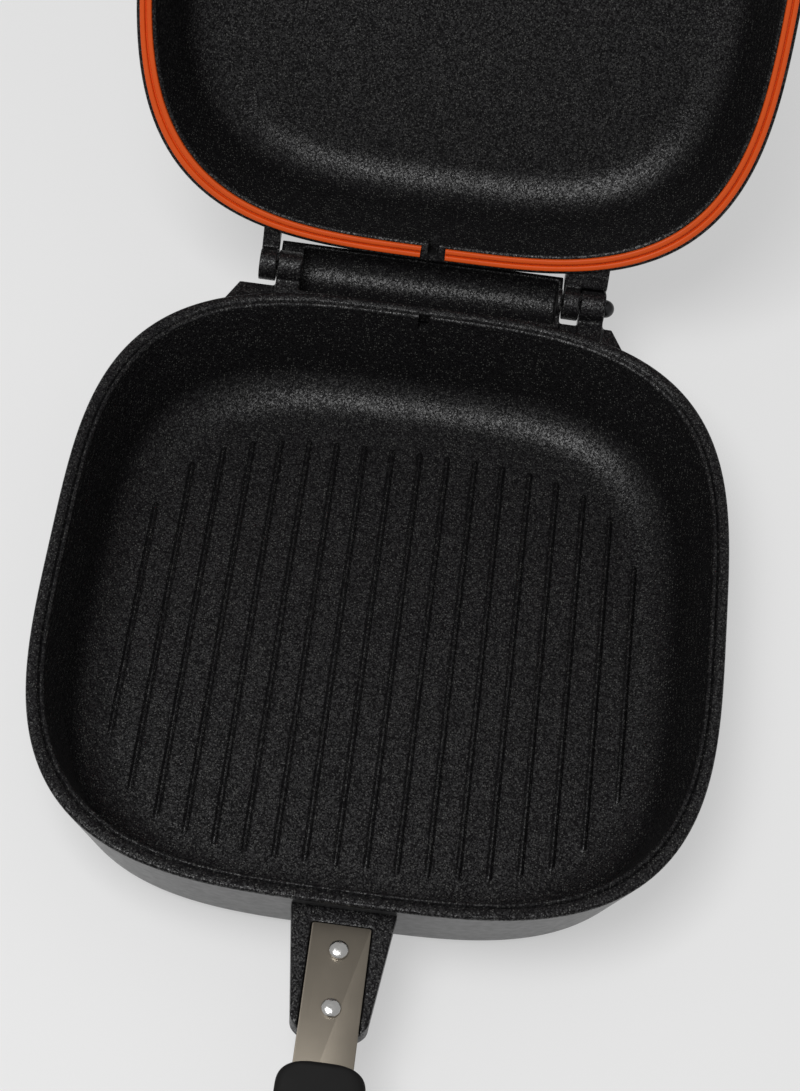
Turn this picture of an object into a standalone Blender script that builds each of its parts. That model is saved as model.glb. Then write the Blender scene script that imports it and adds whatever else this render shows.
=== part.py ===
"""Double sided flip pan: a ridged lower pan and a smooth upper pan on one hinge, shown lying open.

Both halves are modelled in the same way, bowl down, in a half frame: its origin is over the middle of the
pan on the plane where the closed halves meet, +Y points to the hinge and -Y to the handle. The lower half is
put down as it is. The upper half is mirrored about that plane and swung back about the hinge axis.
The part's own origin is the middle of the lower pan's flat base, with +Z up. All lengths are in metres.
"""

import math

import bmesh
import bpy
from mathutils import Matrix, Vector

# Both halves
PAN_WIDTH = 0.320
PAN_DEPTH = 0.332
OUTLINE_SQUARENESS = 3.4
OUTLINE_STEPS = 88
RIM_GAP = 0.002
RIM_EDGE = 0.0008
LOWER_OUTER_DRAFT = math.radians(14)
UPPER_OUTER_DRAFT = math.radians(19)
INNER_DRAFT = math.radians(13)
FLOOR_FILLET = 0.022
FILLET_STEPS = 4
OVERRUN = 0.002
CLEARANCE = 0.0003

# Lower pan
LOWER_HEIGHT = 0.060
LOWER_FLOOR = 0.0055
LOWER_BASE_FILLET = 0.012
LOWER_RIM_WIDTH = 0.008
RIM_LINE_INSET = 0.0052
RIM_LINE_WIDTH = 0.0008
RIM_LINE_DEPTH = 0.0006
RIM_INNER_ROUND = 0.0014

# Upper pan
UPPER_HEIGHT = 0.0535
UPPER_FLOOR = 0.003
UPPER_BASE_FILLET = 0.018
UPPER_RIM_WIDTH = 0.0095

# Grill ridges on the lower pan's floor
RIDGE_COUNT = 18
RIDGE_PITCH = 0.01415
RIDGE_HEIGHT = 0.0018
RIDGE_FOOT_WIDTH = 0.0042
RIDGE_TOP_WIDTH = 0.0016
RIDGE_END_SLOPE = 0.0025
RIDGE_ROOT = 0.0015
RIDGE_FIELD_WIDTH = 0.2505
RIDGE_FIELD_DEPTH = 0.2400
RIDGE_FIELD_SQUARENESS = 3.6
RIDGE_FIELD_SHIFT = -0.0045

# Drain notches in both back rims
NOTCH_WIDTH = 0.0056
NOTCH_DEPTH = 0.009
NOTCH_REACH = 0.006

# Silicone seal in the upper rim
SEAL_INSET = 0.0021
SEAL_WIDTH = 0.0058
SEAL_GROOVE_DEPTH = 0.0024
SEAL_BEAD_REACH = RIM_GAP - CLEARANCE
SEAL_VALLEY_DROP = 0.0004
SEAL_SHOULDER = 0.0008
SEAL_GAP_WIDTH = 0.0125

# Hinge
LID_OPEN = math.radians(122)
HINGE_BEHIND = 0.012
KNUCKLE_RADIUS = 0.008
KNUCKLE_SPLIT = 0.077
KNUCKLE_GAP = 0.0005
LOWER_KNUCKLE_LENGTH = 0.0125
UPPER_KNUCKLE_LENGTH = 0.0086
PIN_RADIUS = 0.0025
PIN_SETBACK = 0.0004
PIN_HEAD_RADIUS = 0.0045
PIN_HEAD_LENGTH = 0.0046
WEB_TOP_DROP = 0.0012
WEB_DROP = 0.017
WEB_BITE = 0.003
STOP_REACH = 0.018
STOP_CLEARANCE = 0.0008
STOP_GAP_ANGLE = math.radians(2)
STOP_FACE_ANGLE = math.radians(112)
STOP_FOOT = 0.014
SHELF_TOP_DROP = 0.003
SHELF_THICKNESS = 0.006
SHELF_SETBACK = 0.0095
SHELF_REACH = 0.009
SHELF_TAPER = 0.010

# Drip gutter between the lower knuckles
GUTTER_RADIUS = 0.0125
GUTTER_WALL = 0.0025
GUTTER_START = math.radians(205)
TROUGH_START = math.radians(190)
GUTTER_END = math.radians(370)
GUTTER_APRON = 0.005
GUTTER_APRON_DROP = 0.008
GUTTER_END_STEP = 0.0005
GUTTER_BOSS_RADIUS = 0.0075
GUTTER_STEPS = 9

# Handle lug cast on the pan's front
LUG_DROP = 0.009
LUG_THICKNESS = 0.011
LUG_LENGTH = 0.0545
LUG_ROOT_WIDTH = 0.048
LUG_END_WIDTH = 0.034
LUG_CORNER = 0.007
LUG_BITE = 0.009
CORNER_STEPS = 4

# Stainless tang, its rivets and the grip
TANG_WIDTH = 0.026
TANG_THICKNESS = 0.0025
TANG_START = 0.0053
TANG_IN_GRIP = 0.045
RIVET_1 = 0.0172
RIVET_2 = 0.0440
RIVET_SHANK = 0.0024
RIVET_HEAD = 0.0044
RIVET_HEAD_HEIGHT = 0.0022
RIVET_TAIL_HEIGHT = 0.0012
GRIP_START = 0.0715
GRIP_LENGTH = 0.125
GRIP_WIDTH = 0.038
GRIP_THICKNESS = 0.018
GRIP_GAP = 0.0007
GRIP_END_ROUND = 0.010
GRIP_END_DROP = 0.003
GRIP_END_STEPS = 4
GRIP_SECTION_STEPS = 10
GRIP_SQUARENESS = 3.0
SCREW_1 = 0.014
SCREW_2 = 0.036
SCREW_SHANK = 0.0018
SCREW_HEAD = 0.0035
SCREW_HEAD_HEIGHT = 0.0020
SCREW_RECESS = 0.0035
SCREW_BITE = 0.0020
MAGNET_PLACE = 0.086
MAGNET_RADIUS = 0.0070
MAGNET_THICKNESS = 0.0032
HANG_HOLE_PLACE = 0.110
HANG_HOLE_WIDTH = 0.009
HANG_HOLE_LENGTH = 0.018
ROUND_STEPS = 20

# Worked out from the sizes above
RIM_Z = -RIM_GAP / 2
PARTING_HEIGHT = LOWER_HEIGHT + RIM_GAP / 2
HINGE_Y = PAN_DEPTH / 2 + HINGE_BEHIND
FRONT_Y = -PAN_DEPTH / 2
WEB_TOP_Z = RIM_Z - WEB_TOP_DROP
LUG_TOP_Z = RIM_Z - LUG_DROP
LUG_BOTTOM_Z = LUG_TOP_Z - LUG_THICKNESS
TANG_TOP_Z = LUG_TOP_Z
TANG_BOTTOM_Z = TANG_TOP_Z - TANG_THICKNESS
GRIP_TOP_Z = -GRIP_GAP / 2
GRIP_BOTTOM_Z = GRIP_TOP_Z - GRIP_THICKNESS
GRIP_Y = FRONT_Y - GRIP_START

PAN_PARTS = bpy.data.collections.new("flip_pan")
TOOLS = bpy.data.collections.new("cutters")


def clear_scene():
    for obj in list(bpy.data.objects):
        bpy.data.objects.remove(obj, do_unlink=True)
    bpy.context.scene.collection.children.link(PAN_PARTS)
    bpy.context.scene.collection.children.link(TOOLS)


def material(name, colour, roughness, metallic):
    made = bpy.data.materials.new(name)
    made.use_nodes = True
    shader = made.node_tree.nodes["Principled BSDF"]
    shader.inputs["Base Color"].default_value = (*colour, 1.0)
    shader.inputs["Roughness"].default_value = roughness
    shader.inputs["Metallic"].default_value = metallic
    return made


def object_from(name, shape, collection):
    """Turns a bmesh into an object, with its faces pointing out."""
    bmesh.ops.recalc_face_normals(shape, faces=shape.faces)
    mesh = bpy.data.meshes.new(name)
    shape.to_mesh(mesh)
    shape.free()
    obj = bpy.data.objects.new(name, mesh)
    collection.objects.link(obj)
    return obj


def piece(name, shape):
    return object_from(name, shape, PAN_PARTS)


def tool(name, shape):
    """A helper solid that is joined to a piece or cut from one."""
    obj = object_from(name, shape, TOOLS)
    obj.hide_render = True
    obj.display_type = "WIRE"
    return obj


def loft(sections):
    """Skins a row of equal point loops, with a flat face on each end."""
    shape = bmesh.new()
    loops = [[shape.verts.new(point) for point in section] for section in sections]
    for near, far in zip(loops, loops[1:]):
        for i in range(len(near)):
            j = (i + 1) % len(near)
            shape.faces.new((near[i], near[j], far[j], far[i]))
    shape.faces.new(loops[0])
    shape.faces.new(loops[-1])
    return shape


def box(low, high):
    shape = bmesh.new()
    size = Vector(high) - Vector(low)
    middle = (Vector(high) + Vector(low)) / 2
    bmesh.ops.create_cube(shape, size=1.0, matrix=Matrix.Translation(middle) @ Matrix.Diagonal((*size, 1.0)))
    return shape


def extruded(points, run):
    """A flat outline drawn out along a vector."""
    shape = bmesh.new()
    face = shape.faces.new([shape.verts.new(point) for point in points])
    made = bmesh.ops.extrude_face_region(shape, geom=[face], use_keep_orig=True)
    far = [item for item in made["geom"] if isinstance(item, bmesh.types.BMVert)]
    bmesh.ops.translate(shape, vec=Vector(run), verts=far)
    return shape


def prism_x(outline, x0, x1):
    """A (y, z) outline drawn out along X."""
    return extruded([(x0, y, z) for y, z in outline], (x1 - x0, 0, 0))


def prism_z(outline, z0, z1):
    """An (x, y) outline drawn out along Z."""
    return extruded([(x, y, z0) for x, y in outline], (0, 0, z1 - z0))


def cylinder(radius, start, end):
    """A cylinder between two points."""
    shape = bmesh.new()
    run = Vector(end) - Vector(start)
    place = Matrix.Translation((Vector(start) + Vector(end)) / 2)
    turn = run.to_track_quat("Z", "Y").to_matrix().to_4x4()
    bmesh.ops.create_cone(
        shape,
        cap_ends=True,
        segments=ROUND_STEPS,
        radius1=radius,
        radius2=radius,
        depth=run.length,
        matrix=place @ turn,
    )
    return shape


def turned(name, profile):
    """A turned piece about its own Z axis, from (radius, height) points, its top first."""
    mesh = bpy.data.meshes.new(name)
    points = [(radius, 0, height) for radius, height in profile]
    mesh.from_pydata(points, [(i, i + 1) for i in range(len(points) - 1)], [])
    obj = bpy.data.objects.new(name, mesh)
    PAN_PARTS.objects.link(obj)
    screw = obj.modifiers.new("turn", "SCREW")
    screw.steps = ROUND_STEPS
    screw.render_steps = ROUND_STEPS
    screw.use_merge_vertices = True
    screw.merge_threshold = 0.00001
    return bake(obj)


def boolean(obj, operation, tools):
    for other in tools:
        modifier = obj.modifiers.new(other.name, "BOOLEAN")
        modifier.operation = operation
        modifier.object = other
        modifier.solver = "EXACT"


def bake(obj):
    """Replaces an object's modifiers with the mesh that they make."""
    bpy.context.view_layer.update()
    graph = bpy.context.evaluated_depsgraph_get()
    mesh = bpy.data.meshes.new_from_object(obj.evaluated_get(graph))
    obj.modifiers.clear()
    obj.data = mesh
    mesh.name = obj.name
    return obj


def arc(middle, radius, start, end, steps):
    """Points on an arc, as (across, up) pairs."""
    points = []
    for i in range(steps + 1):
        angle = start + (end - start) * i / steps
        points.append((middle[0] + radius * math.cos(angle), middle[1] + radius * math.sin(angle)))
    return points


def outline_point(inset, angle):
    """The rounded-square outline, drawn in by inset, in the direction of an angle about the middle."""
    across = abs(math.cos(angle)) / (PAN_WIDTH / 2 - inset)
    along = abs(math.sin(angle)) / (PAN_DEPTH / 2 - inset)
    reach = (across**OUTLINE_SQUARENESS + along**OUTLINE_SQUARENESS) ** (-1 / OUTLINE_SQUARENESS)
    return reach * math.cos(angle), reach * math.sin(angle)


def outline_ring(inset, z):
    turns = [2 * math.pi * i / OUTLINE_STEPS for i in range(OUTLINE_STEPS)]
    return [(*outline_point(inset, turn), z) for turn in turns]


def back_wall_y(x, drop):
    """Where the back of the steeper outer wall is at a place across the pan, a drop below the rim."""
    inset = drop * math.tan(UPPER_OUTER_DRAFT)
    across = min(abs(x) / (PAN_WIDTH / 2 - inset), 1)
    return (PAN_DEPTH / 2 - inset) * (1 - across**OUTLINE_SQUARENESS) ** (1 / OUTLINE_SQUARENESS)


def wall_and_fillet(rim_inset, draft, foot_z, radius):
    """(inset, z) points down a drafted wall's fillet, from the wall to the flat."""
    wall_end_z = foot_z + radius * (1 - math.sin(draft))
    middle_inset = rim_inset + (RIM_Z - wall_end_z) * math.tan(draft) + radius * math.cos(draft)
    points = []
    for i in range(FILLET_STEPS + 1):
        angle = draft + (math.pi / 2 - draft) * i / FILLET_STEPS
        points.append((middle_inset - radius * math.cos(angle), foot_z + radius * (1 - math.sin(angle))))
    return points


def pan_shell(name, height, floor, outer_draft, base_fillet, rim_width, rim_line):
    """A pan body, bowl down from the rim plane: base, outer wall, rim, inner wall and floor."""
    base_z = RIM_Z - height
    outside = wall_and_fillet(0, outer_draft, base_z, base_fillet)
    inside = wall_and_fillet(rim_width, INNER_DRAFT, base_z + floor, FLOOR_FILLET)
    rim = [(RIM_EDGE * math.tan(outer_draft), RIM_Z - RIM_EDGE), (RIM_EDGE, RIM_Z)]
    if rim_line:
        rim.append((RIM_LINE_INSET, RIM_Z))
        rim.append((RIM_LINE_INSET + RIM_LINE_WIDTH / 2, RIM_Z - RIM_LINE_DEPTH))
        rim.append((RIM_LINE_INSET + RIM_LINE_WIDTH, RIM_Z))
    rim.append((rim_width - RIM_INNER_ROUND, RIM_Z))
    rim.append((rim_width, RIM_Z - RIM_INNER_ROUND))
    profile = outside[::-1] + rim + inside
    return piece(name, loft([outline_ring(inset, z) for inset, z in profile]))


def ridges():
    """All the grill ridges as separate bars in one tool, longest in the middle of the floor."""
    floor_z = RIM_Z - LOWER_HEIGHT + LOWER_FLOOR
    shape = bmesh.new()
    for i in range(RIDGE_COUNT):
        x = (i - (RIDGE_COUNT - 1) / 2) * RIDGE_PITCH
        across = abs(x) / (RIDGE_FIELD_WIDTH / 2)
        share = (1 - across**RIDGE_FIELD_SQUARENESS) ** (1 / RIDGE_FIELD_SQUARENESS)
        half = RIDGE_FIELD_DEPTH / 2 * share
        low = floor_z - RIDGE_ROOT
        bar = box(
            (x - RIDGE_FOOT_WIDTH / 2, RIDGE_FIELD_SHIFT - half, low),
            (x + RIDGE_FOOT_WIDTH / 2, RIDGE_FIELD_SHIFT + half, floor_z + RIDGE_HEIGHT),
        )
        for vert in bar.verts:
            if vert.co.z > floor_z:
                side = math.copysign(RIDGE_TOP_WIDTH / 2, vert.co.x - x)
                end = math.copysign(half - RIDGE_END_SLOPE, vert.co.y - RIDGE_FIELD_SHIFT)
                vert.co.x = x + side
                vert.co.y = RIDGE_FIELD_SHIFT + end
        spare = bpy.data.meshes.new("ridge")
        bar.to_mesh(spare)
        bar.free()
        shape.from_mesh(spare)
        bpy.data.meshes.remove(spare)
    return tool("ridges_tool", shape)


def drain_notch(name, rim_width):
    """The slot through the middle of a back rim."""
    back = PAN_DEPTH / 2
    low = (-NOTCH_WIDTH / 2, back - rim_width - NOTCH_DEPTH, RIM_Z - NOTCH_DEPTH)
    return tool(name, box(low, (NOTCH_WIDTH / 2, back + NOTCH_REACH, RIM_Z + OVERRUN)))


def knuckle(name, x0, x1):
    return tool(name, cylinder(KNUCKLE_RADIUS, (x0, HINGE_Y, 0), (x1, HINGE_Y, 0)))


def knuckle_bore(name, x0, x1):
    start = (x0 - OVERRUN, HINGE_Y, 0)
    return tool(name, cylinder(PIN_RADIUS + CLEARANCE, start, (x1 + OVERRUN, HINGE_Y, 0)))


def web_root(x0, x1):
    """The two corners of a hinge web that lie inside the pan's back wall, upper one first."""
    x = max(abs(x0), abs(x1))
    upper = (back_wall_y(x, WEB_TOP_DROP) - WEB_BITE, WEB_TOP_Z)
    return [upper, (back_wall_y(x, WEB_DROP) - WEB_BITE, RIM_Z - WEB_DROP)]


def from_hinge(radius, angle):
    """A (y, z) point at a radius and an angle about the hinge axis, measured down from +Y."""
    return HINGE_Y + radius * math.cos(angle), -radius * math.sin(angle)


def web(name, x0, x1):
    """The plain web that carries a knuckle on the pan's back wall."""
    corner = from_hinge(KNUCKLE_RADIUS, math.radians(50))
    outline = [*web_root(x0, x1), corner, (HINGE_Y, WEB_TOP_Z)]
    return tool(name, prism_x(outline, x0, x1))


def stop_web(name, x0, x1, angle, reach, foot):
    """A web whose free face lies in a plane through the hinge axis, which is where the lid stops."""
    start = from_hinge(-WEB_TOP_Z / math.sin(angle), angle)
    outline = [*web_root(x0, x1), *foot, from_hinge(reach, angle), start]
    return tool(name, prism_x(outline, x0, x1))


def shelf(name, side):
    """The thin cast shelf under a pair of knuckles, which runs out to a point along the pan's corner."""
    inner = KNUCKLE_SPLIT - LOWER_KNUCKLE_LENGTH
    outer = KNUCKLE_SPLIT + UPPER_KNUCKLE_LENGTH + SHELF_REACH
    point = outer + SHELF_TAPER
    back = HINGE_Y - SHELF_SETBACK
    roots = [(side * x, back_wall_y(x, SHELF_TOP_DROP) - WEB_BITE) for x in (point, inner)]
    outline = [*roots, (side * inner, back), (side * outer, back)]
    top = RIM_Z - SHELF_TOP_DROP
    return tool(name, prism_z(outline, top - SHELF_THICKNESS, top))


def gutter():
    """The drip gutter: a block round the hinge axis from the left knuckle on, cut to a trough."""
    beside = knuckle_spans(True)[0]
    left = beside[0] + GUTTER_END_STEP
    right = KNUCKLE_SPLIT - KNUCKLE_GAP / 2 - UPPER_KNUCKLE_LENGTH - KNUCKLE_GAP
    root_y = PAN_DEPTH / 2 - GUTTER_APRON
    outer = arc((HINGE_Y, 0), GUTTER_RADIUS + GUTTER_WALL, GUTTER_START, GUTTER_END, GUTTER_STEPS)
    block = [(root_y, WEB_TOP_Z), (root_y, RIM_Z - GUTTER_APRON_DROP), *outer, from_hinge(0, 0)]
    body = tool("gutter_tool", prism_x(block, left, right))
    trough = arc((HINGE_Y, 0), GUTTER_RADIUS, TROUGH_START, GUTTER_END, GUTTER_STEPS)
    mouth_z = trough[-1][1] + OVERRUN
    mouth = [(trough[-1][0], mouth_z), (trough[0][0], mouth_z)]
    shape = prism_x([*trough, *mouth], beside[1] - GUTTER_END_STEP, right - GUTTER_WALL)
    boolean(body, "DIFFERENCE", [tool("gutter_trough_tool", shape)])
    boss = cylinder(GUTTER_BOSS_RADIUS, (right - GUTTER_WALL, HINGE_Y, 0), (right, HINGE_Y, 0))
    return [bake(body), tool("gutter_boss_tool", boss)]


def rounded_taper(root_y, end_y, root_width, end_width, corner):
    """An (x, y) plate outline that tapers to an end with round corners."""
    right = arc((end_width / 2 - corner, end_y + corner), corner, 0, -math.pi / 2, CORNER_STEPS)
    left = [(-x, y) for x, y in reversed(right)]
    return [(root_width / 2, root_y), *right, *left, (-root_width / 2, root_y)]


def handle_lug(side):
    """The tapered lug under the front rim, and the pocket and holes to cut in it."""
    root_y = FRONT_Y + LUG_BITE
    plate = rounded_taper(root_y, FRONT_Y - LUG_LENGTH, LUG_ROOT_WIDTH, LUG_END_WIDTH, LUG_CORNER)
    lug = tool(side + "_lug_tool", prism_z(plate, LUG_BOTTOM_Z, LUG_TOP_Z))
    half = TANG_WIDTH / 2 + CLEARANCE
    low = (-half, FRONT_Y - LUG_LENGTH - OVERRUN, TANG_BOTTOM_Z - CLEARANCE)
    high = (half, FRONT_Y - TANG_START + CLEARANCE, LUG_TOP_Z + OVERRUN)
    pocket = tool(side + "_pocket_tool", box(low, high))
    holes = []
    for i, place in enumerate((RIVET_1, RIVET_2)):
        ends = [(0, FRONT_Y - place, z) for z in (LUG_BOTTOM_Z - OVERRUN, LUG_TOP_Z + OVERRUN)]
        holes.append(tool(f"{side}_rivet_hole_tool_{i}", cylinder(RIVET_SHANK + CLEARANCE, *ends)))
    return lug, [pocket, *holes]


def knuckle_spans(lower):
    """Where the left and right knuckles of one half lie along X."""
    spans = []
    for split in (-KNUCKLE_SPLIT, KNUCKLE_SPLIT):
        if lower:
            start = split + KNUCKLE_GAP / 2
            spans.append((start, start + LOWER_KNUCKLE_LENGTH))
        else:
            end = split - KNUCKLE_GAP / 2
            spans.append((end - UPPER_KNUCKLE_LENGTH, end))
    return spans


def lower_pan():
    body = (LOWER_HEIGHT, LOWER_FLOOR, LOWER_OUTER_DRAFT, LOWER_BASE_FILLET)
    pan = pan_shell("lower_pan", *body, LOWER_RIM_WIDTH, True)
    left, right = knuckle_spans(True)
    stop_angle = LID_OPEN - STOP_FACE_ANGLE + STOP_GAP_ANGLE
    foot = [from_hinge(STOP_FOOT, math.radians(55))]
    added = [
        ridges(),
        knuckle("lower_left_knuckle_tool", *left),
        knuckle("lower_right_knuckle_tool", *right),
        web("lower_left_web_tool", *left),
        stop_web("lower_right_web_tool", *right, stop_angle, STOP_REACH, foot),
        shelf("left_shelf_tool", -1),
        shelf("right_shelf_tool", 1),
        *gutter(),
    ]
    lug, cuts = handle_lug("lower")
    boolean(pan, "UNION", [*added, lug])
    bores = [knuckle_bore("lower_left_bore_tool", *left), knuckle_bore("lower_right_bore_tool", *right)]
    boolean(pan, "DIFFERENCE", [*cuts, *bores, drain_notch("lower_notch_tool", LOWER_RIM_WIDTH)])
    return bake(pan)


def seal_sections(outline, spare):
    """The seal's (inset, z) outline set round the rim, open at the drain notch by the gap less spare."""
    middle_y = PAN_DEPTH / 2 - SEAL_INSET - SEAL_WIDTH / 2
    half_gap = math.atan2(SEAL_GAP_WIDTH / 2 - spare, middle_y)
    start = math.pi / 2 + half_gap
    run = 2 * math.pi - 2 * half_gap
    sections = []
    for i in range(OUTLINE_STEPS + 1):
        angle = start + run * i / OUTLINE_STEPS
        sections.append([(*outline_point(inset, angle), z) for inset, z in outline])
    return sections


def seal_groove():
    low, high = RIM_Z - SEAL_GROOVE_DEPTH, RIM_Z + OVERRUN
    near, far = SEAL_INSET - CLEARANCE, SEAL_INSET + SEAL_WIDTH + CLEARANCE
    outline = [(near, low), (near, high), (far, high), (far, low)]
    return tool("seal_groove_tool", loft(seal_sections(outline, CLEARANCE)))


def seal():
    """The silicone strip: two beads that stand out of the rim, with a valley between them."""
    foot_z = RIM_Z - SEAL_GROOVE_DEPTH + CLEARANCE
    top_z = RIM_Z + SEAL_BEAD_REACH
    valley_z = RIM_Z + SEAL_VALLEY_DROP
    side_z = top_z - SEAL_SHOULDER
    middle = SEAL_INSET + SEAL_WIDTH / 2
    bead = [(SEAL_INSET, side_z), (SEAL_INSET + SEAL_SHOULDER, top_z), (middle - SEAL_SHOULDER, top_z)]
    mirrored = [(2 * middle - inset, z) for inset, z in reversed(bead)]
    outline = [(SEAL_INSET, foot_z), *bead, (middle, valley_z), *mirrored, (SEAL_INSET + SEAL_WIDTH, foot_z)]
    return piece("seal", loft(seal_sections(outline, 0)))


def upper_pan():
    body = (UPPER_HEIGHT, UPPER_FLOOR, UPPER_OUTER_DRAFT, UPPER_BASE_FILLET)
    pan = pan_shell("upper_pan", *body, UPPER_RIM_WIDTH, False)
    left, right = knuckle_spans(False)
    tab = knuckle_spans(True)[1]
    boolean(pan, "UNION", [stop_web("stop_tab_tool", right[0], tab[1], STOP_FACE_ANGLE, STOP_REACH, [])])
    start, end = (right[1], HINGE_Y, 0), (tab[1] + OVERRUN, HINGE_Y, 0)
    tab_cut = tool("tab_cut_tool", cylinder(KNUCKLE_RADIUS + STOP_CLEARANCE, start, end))
    boolean(pan, "DIFFERENCE", [tab_cut])
    lug, cuts = handle_lug("upper")
    added = [
        web("upper_left_web_tool", *left),
        knuckle("upper_left_knuckle_tool", *left),
        knuckle("upper_right_knuckle_tool", *right),
        lug,
    ]
    boolean(pan, "UNION", added)
    bores = [knuckle_bore("upper_left_bore_tool", *left), knuckle_bore("upper_right_bore_tool", *right)]
    notch = drain_notch("upper_notch_tool", UPPER_RIM_WIDTH)
    boolean(pan, "DIFFERENCE", [*cuts, *bores, seal_groove(), notch])
    return bake(pan)


def hinge_pin(name, split, headed):
    """A pin that is fast in the lower knuckle and turns in the upper one. A head stands out to the right."""
    start = split - KNUCKLE_GAP / 2 - UPPER_KNUCKLE_LENGTH + PIN_SETBACK
    end = split + KNUCKLE_GAP / 2 + LOWER_KNUCKLE_LENGTH
    if headed:
        end += CLEARANCE
        flat = end + PIN_HEAD_LENGTH - PIN_HEAD_RADIUS
        dome = arc((0, flat), PIN_HEAD_RADIUS, math.pi / 2, 0, CORNER_STEPS)
        head = [(0, dome[0][1]), *dome[1:], (PIN_HEAD_RADIUS, end)]
    else:
        end -= PIN_SETBACK
        head = [(0, end)]
    pin = turned(name, [*head, (PIN_RADIUS, end), (PIN_RADIUS, start), (0, start)])
    pin.location = (0, HINGE_Y, 0)
    pin.rotation_euler = (0, math.pi / 2, 0)
    return pin


def tang(side):
    end_y = GRIP_Y - TANG_IN_GRIP
    half = TANG_WIDTH / 2
    body = box((-half, end_y, TANG_BOTTOM_Z), (half, FRONT_Y - TANG_START, TANG_TOP_Z))
    strip = piece(side + "_tang", body)
    holes = []
    for i, place in enumerate((RIVET_1, RIVET_2)):
        holes.append((f"{side}_tang_hole_tool_{i}", FRONT_Y - place, RIVET_SHANK + CLEARANCE))
    for i, place in enumerate((SCREW_1, SCREW_2)):
        holes.append((f"{side}_tang_screw_hole_tool_{i}", GRIP_Y - place, SCREW_SHANK + CLEARANCE))
    cuts = []
    for name, y, radius in holes:
        ends = [(0, y, z) for z in (TANG_BOTTOM_Z - OVERRUN, TANG_TOP_Z + OVERRUN)]
        cuts.append(tool(name, cylinder(radius, *ends)))
    boolean(strip, "DIFFERENCE", cuts)
    return bake(strip)


def rivet(name, place):
    """A domed rivet through tang and lug, with a flat formed tail under the lug."""
    seat = TANG_TOP_Z + CLEARANCE
    tail = LUG_BOTTOM_Z - CLEARANCE
    share = [math.cos(math.pi / 2 * i / CORNER_STEPS) for i in range(CORNER_STEPS)]
    dome = [(RIVET_HEAD * math.sqrt(1 - s * s), seat + RIVET_HEAD_HEIGHT * s) for s in share]
    profile = [*dome, (RIVET_HEAD, seat), (RIVET_SHANK, seat), (RIVET_SHANK, tail), (RIVET_HEAD, tail)]
    profile += [(RIVET_HEAD, tail - RIVET_TAIL_HEIGHT), (0, tail - RIVET_TAIL_HEIGHT)]
    made = turned(name, profile)
    made.location = (0, FRONT_Y - place, 0)
    return made


def grip_section(run, turn):
    """A half-round section, flat side up. Turn falls from a right angle at the end to zero."""
    half = GRIP_WIDTH / 2 - GRIP_END_ROUND * (1 - math.cos(turn))
    deep = GRIP_THICKNESS - GRIP_END_DROP * (1 - math.cos(turn))
    power = 2 / GRIP_SQUARENESS
    points = []
    for i in range(GRIP_SECTION_STEPS + 1):
        angle = math.pi * i / GRIP_SECTION_STEPS
        across, down = math.cos(angle), math.sin(angle)
        x = math.copysign(half * abs(across) ** power, across)
        points.append((x, GRIP_Y - run, GRIP_TOP_Z - deep * abs(down) ** power))
    return points


def grip(side):
    """The moulded half grip, round at both ends and cut for tang, screws, magnet and hanging hole."""
    turns = [math.pi / 2 * (1 - i / GRIP_END_STEPS) for i in range(GRIP_END_STEPS + 1)]
    runs = [GRIP_END_ROUND * (1 - math.sin(turn)) for turn in turns]
    sections = [grip_section(run, turn) for run, turn in zip(runs, turns)]
    sections += [grip_section(GRIP_LENGTH - run, turn) for run, turn in zip(reversed(runs), reversed(turns))]
    body = piece(side + "_grip", loft(sections))
    cuts = []
    half = TANG_WIDTH / 2 + CLEARANCE
    slot_low = (-half, GRIP_Y - TANG_IN_GRIP - CLEARANCE, TANG_BOTTOM_Z - CLEARANCE)
    cuts.append(tool(side + "_slot_tool", box(slot_low, (half, GRIP_Y + OVERRUN, TANG_TOP_Z + CLEARANCE))))
    low, seat = GRIP_BOTTOM_Z - OVERRUN, GRIP_BOTTOM_Z + SCREW_RECESS
    top = TANG_TOP_Z + SCREW_BITE + CLEARANCE
    for i, place in enumerate((SCREW_1, SCREW_2)):
        y = GRIP_Y - place
        recess = cylinder(SCREW_HEAD + CLEARANCE, (0, y, low), (0, y, seat))
        hole = cylinder(SCREW_SHANK + CLEARANCE, (0, y, low), (0, y, top))
        cuts += [tool(f"{side}_recess_tool_{i}", recess), tool(f"{side}_screw_hole_tool_{i}", hole)]
    y = GRIP_Y - MAGNET_PLACE
    floor_z = GRIP_TOP_Z - MAGNET_THICKNESS - CLEARANCE
    seat = cylinder(MAGNET_RADIUS + CLEARANCE, (0, y, floor_z), (0, y, GRIP_TOP_Z + OVERRUN))
    cuts.append(tool(side + "_magnet_seat_tool", seat))
    y = GRIP_Y - HANG_HOLE_PLACE
    half = HANG_HOLE_WIDTH / 2
    straight = HANG_HOLE_LENGTH / 2 - half
    hole = arc((0, y + straight), half, 0, math.pi, 2 * CORNER_STEPS)
    hole += arc((0, y - straight), half, math.pi, 2 * math.pi, 2 * CORNER_STEPS)
    cuts.append(tool(side + "_hang_hole_tool", prism_z(hole, GRIP_BOTTOM_Z - OVERRUN, GRIP_TOP_Z + OVERRUN)))
    boolean(body, "DIFFERENCE", cuts)
    return bake(body)


def grip_screw(name, place):
    """A pan-head screw from the grip's outer side through the tang."""
    head_z = GRIP_BOTTOM_Z + SCREW_RECESS - CLEARANCE
    foot = head_z - SCREW_HEAD_HEIGHT
    top = TANG_TOP_Z + SCREW_BITE
    shank = [(0, top), (SCREW_SHANK, top), (SCREW_SHANK, head_z)]
    made = turned(name, [*shank, (SCREW_HEAD, head_z), (SCREW_HEAD, foot), (0, foot)])
    made.location = (0, GRIP_Y - place, 0)
    return made


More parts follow.
